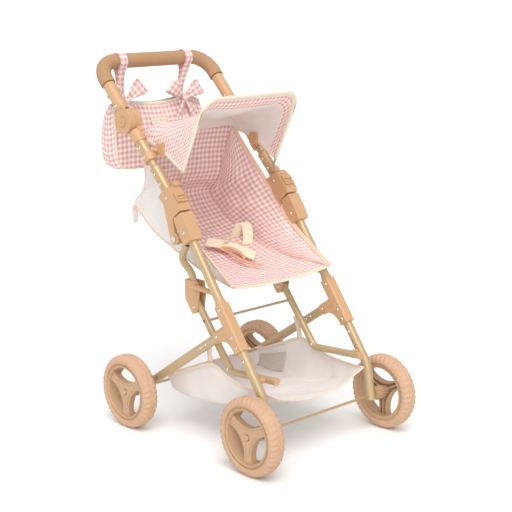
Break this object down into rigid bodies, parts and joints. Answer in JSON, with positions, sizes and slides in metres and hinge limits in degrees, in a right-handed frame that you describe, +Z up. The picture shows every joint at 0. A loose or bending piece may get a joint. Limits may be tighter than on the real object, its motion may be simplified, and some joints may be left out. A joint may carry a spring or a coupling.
{
  "type": "doll stroller",
  "caption": "Folding doll stroller with tubular frame, latched fold hinges, tilting handle, fabric sling seat, folding canopy, mesh basket, hanging bag and spoked wheels.",
  "frame": {"origin": "under the middle of the bounding box, on the ground", "axes": "-Y to the front, +Z up, +X to the left of the child who pushes it"},
  "size_m": [0.305, 0.4514, 0.5707],
  "materials": {
    "painted_tube": "satin champagne powder coat on steel tube",
    "plastic": "fine satin moulded plastic, warm beige",
    "foam": "soft matte tan foam",
    "tyre_foam": "matte tan moulded foam tyre",
    "rim_plastic": "matte tan moulded plastic",
    "steel": "bright nickel plate",
    "bow_wire": "painted spring wire",
    "gingham": "woven cotton, pink and white check",
    "strap_webbing": "cream cotton strap",
    "mesh": "white knitted mesh"
  },
  "bodies": {
    "base": {"axles": "steel", "axle_caps": "plastic", "front_leg_upper_left": "painted_tube", "front_leg_upper_right": "painted_tube", "front_leg_lower_left": "painted_tube", "front_leg_lower_right": "painted_tube", "t_connector_left": "plastic", "t_connector_right": "plastic", "rear_leg_left": "painted_tube", "rear_leg_right": "painted_tube", "brace_tubes": "painted_tube", "brace_brackets": "plastic", "link_tubes": "painted_tube", "link_spacers": "plastic", "link_caps": "plastic", "cross_rods": "painted_tube", "lower_hinge_left": "plastic", "lower_hinge_right": "plastic", "hinge_pins": "steel", "seat_front": "gingham", "basket": "mesh", "base_rivets": "steel"},
    "upper_frame": {"upper_hinge_left": "plastic", "upper_hinge_right": "plastic", "latch_springs": "steel", "side_tube_left": "painted_tube", "side_tube_right": "painted_tube", "lock_collars": "plastic", "upper_side_tube_left": "painted_tube", "upper_side_tube_right": "painted_tube", "canopy_clips": "plastic", "hub_lower_left": "plastic", "hub_lower_right": "plastic", "bow_bosses": "plastic", "canopy_rear": "gingham", "seat_sling": "gingham", "harness": "strap_webbing", "upper_rivets": "steel"},
    "handle": {"hub_upper_left": "plastic", "hub_upper_right": "plastic", "button_springs": "steel", "handle_tube": "painted_tube", "foam_grip": "foam", "handle_rivets": "steel"},
    "button_left": {"hub_button_left": "plastic"},
    "button_right": {"hub_button_right": "plastic"},
    "latch_left": {"fold_latch_left": "plastic"},
    "latch_right": {"fold_latch_right": "plastic"},
    "canopy_bow": {"canopy_bow": "bow_wire", "canopy_front": "gingham"},
    "bag": {"bag": "gingham", "bag_straps": "gingham"},
    "wheel_front_left": {"tyre_front_left": "tyre_foam", "rim_front_left": "rim_plastic"},
    "wheel_front_right": {"tyre_front_right": "tyre_foam", "rim_front_right": "rim_plastic"},
    "wheel_rear_left": {"tyre_rear_left": "tyre_foam", "rim_rear_left": "rim_plastic"},
    "wheel_rear_right": {"tyre_rear_right": "tyre_foam", "rim_rear_right": "rim_plastic"}
  },
  "joints": [
    {"name": "frame_fold", "type": "hinge", "parent": "base", "child": "upper_frame", "pos_m": [0, 0.01379, 0.309], "axis": [-1, 0, 0], "range_deg": [0, 90]},
    {"name": "handle_tilt", "type": "hinge", "parent": "upper_frame", "child": "handle", "pos_m": [0, 0.12802, 0.47262], "axis": [1, 0, 0], "range_deg": [-5, 30]},
    {"name": "canopy_fold", "type": "hinge", "parent": "upper_frame", "child": "canopy_bow", "pos_m": [0, 0.03179, 0.386], "axis": [-1, 0, 0], "range_deg": [-20, 50]},
    {"name": "bag_swing", "type": "hinge", "parent": "handle", "child": "bag", "pos_m": [0, 0.20571, 0.55741], "axis": [1, 0, 0], "range_deg": [-3, 10]},
    {"name": "latch_slide_left", "type": "slide", "parent": "upper_frame", "child": "latch_left", "axis": [0, 0.6756, 0.7373], "range_m": [0, 0.006], "stiffness_N_per_m": 300, "springref_m": -0.003},
    {"name": "latch_slide_right", "type": "slide", "parent": "upper_frame", "child": "latch_right", "axis": [0, 0.6756, 0.7373], "range_m": [0, 0.006], "stiffness_N_per_m": 300, "springref_m": -0.003},
    {"name": "button_press_left", "type": "slide", "parent": "handle", "child": "button_left", "axis": [-1, 0, 0], "range_m": [0, 0.002], "stiffness_N_per_m": 600, "springref_m": -0.001},
    {"name": "button_press_right", "type": "slide", "parent": "handle", "child": "button_right", "axis": [1, 0, 0], "range_m": [0, 0.002], "stiffness_N_per_m": 600, "springref_m": -0.001},
    {"name": "wheel_spin_front_left", "type": "hinge", "parent": "base", "child": "wheel_front_left", "pos_m": [0.1395, -0.16821, 0.0575], "axis": [1, 0, 0], "continuous": true},
    {"name": "wheel_spin_front_right", "type": "hinge", "parent": "base", "child": "wheel_front_right", "pos_m": [-0.1395, -0.16821, 0.0575], "axis": [1, 0, 0], "continuous": true},
    {"name": "wheel_spin_rear_left", "type": "hinge", "parent": "base", "child": "wheel_rear_left", "pos_m": [0.1395, 0.10979, 0.0575], "axis": [1, 0, 0], "continuous": true},
    {"name": "wheel_spin_rear_right", "type": "hinge", "parent": "base", "child": "wheel_rear_right", "pos_m": [-0.1395, 0.10979, 0.0575], "axis": [1, 0, 0], "continuous": true}
  ]
}
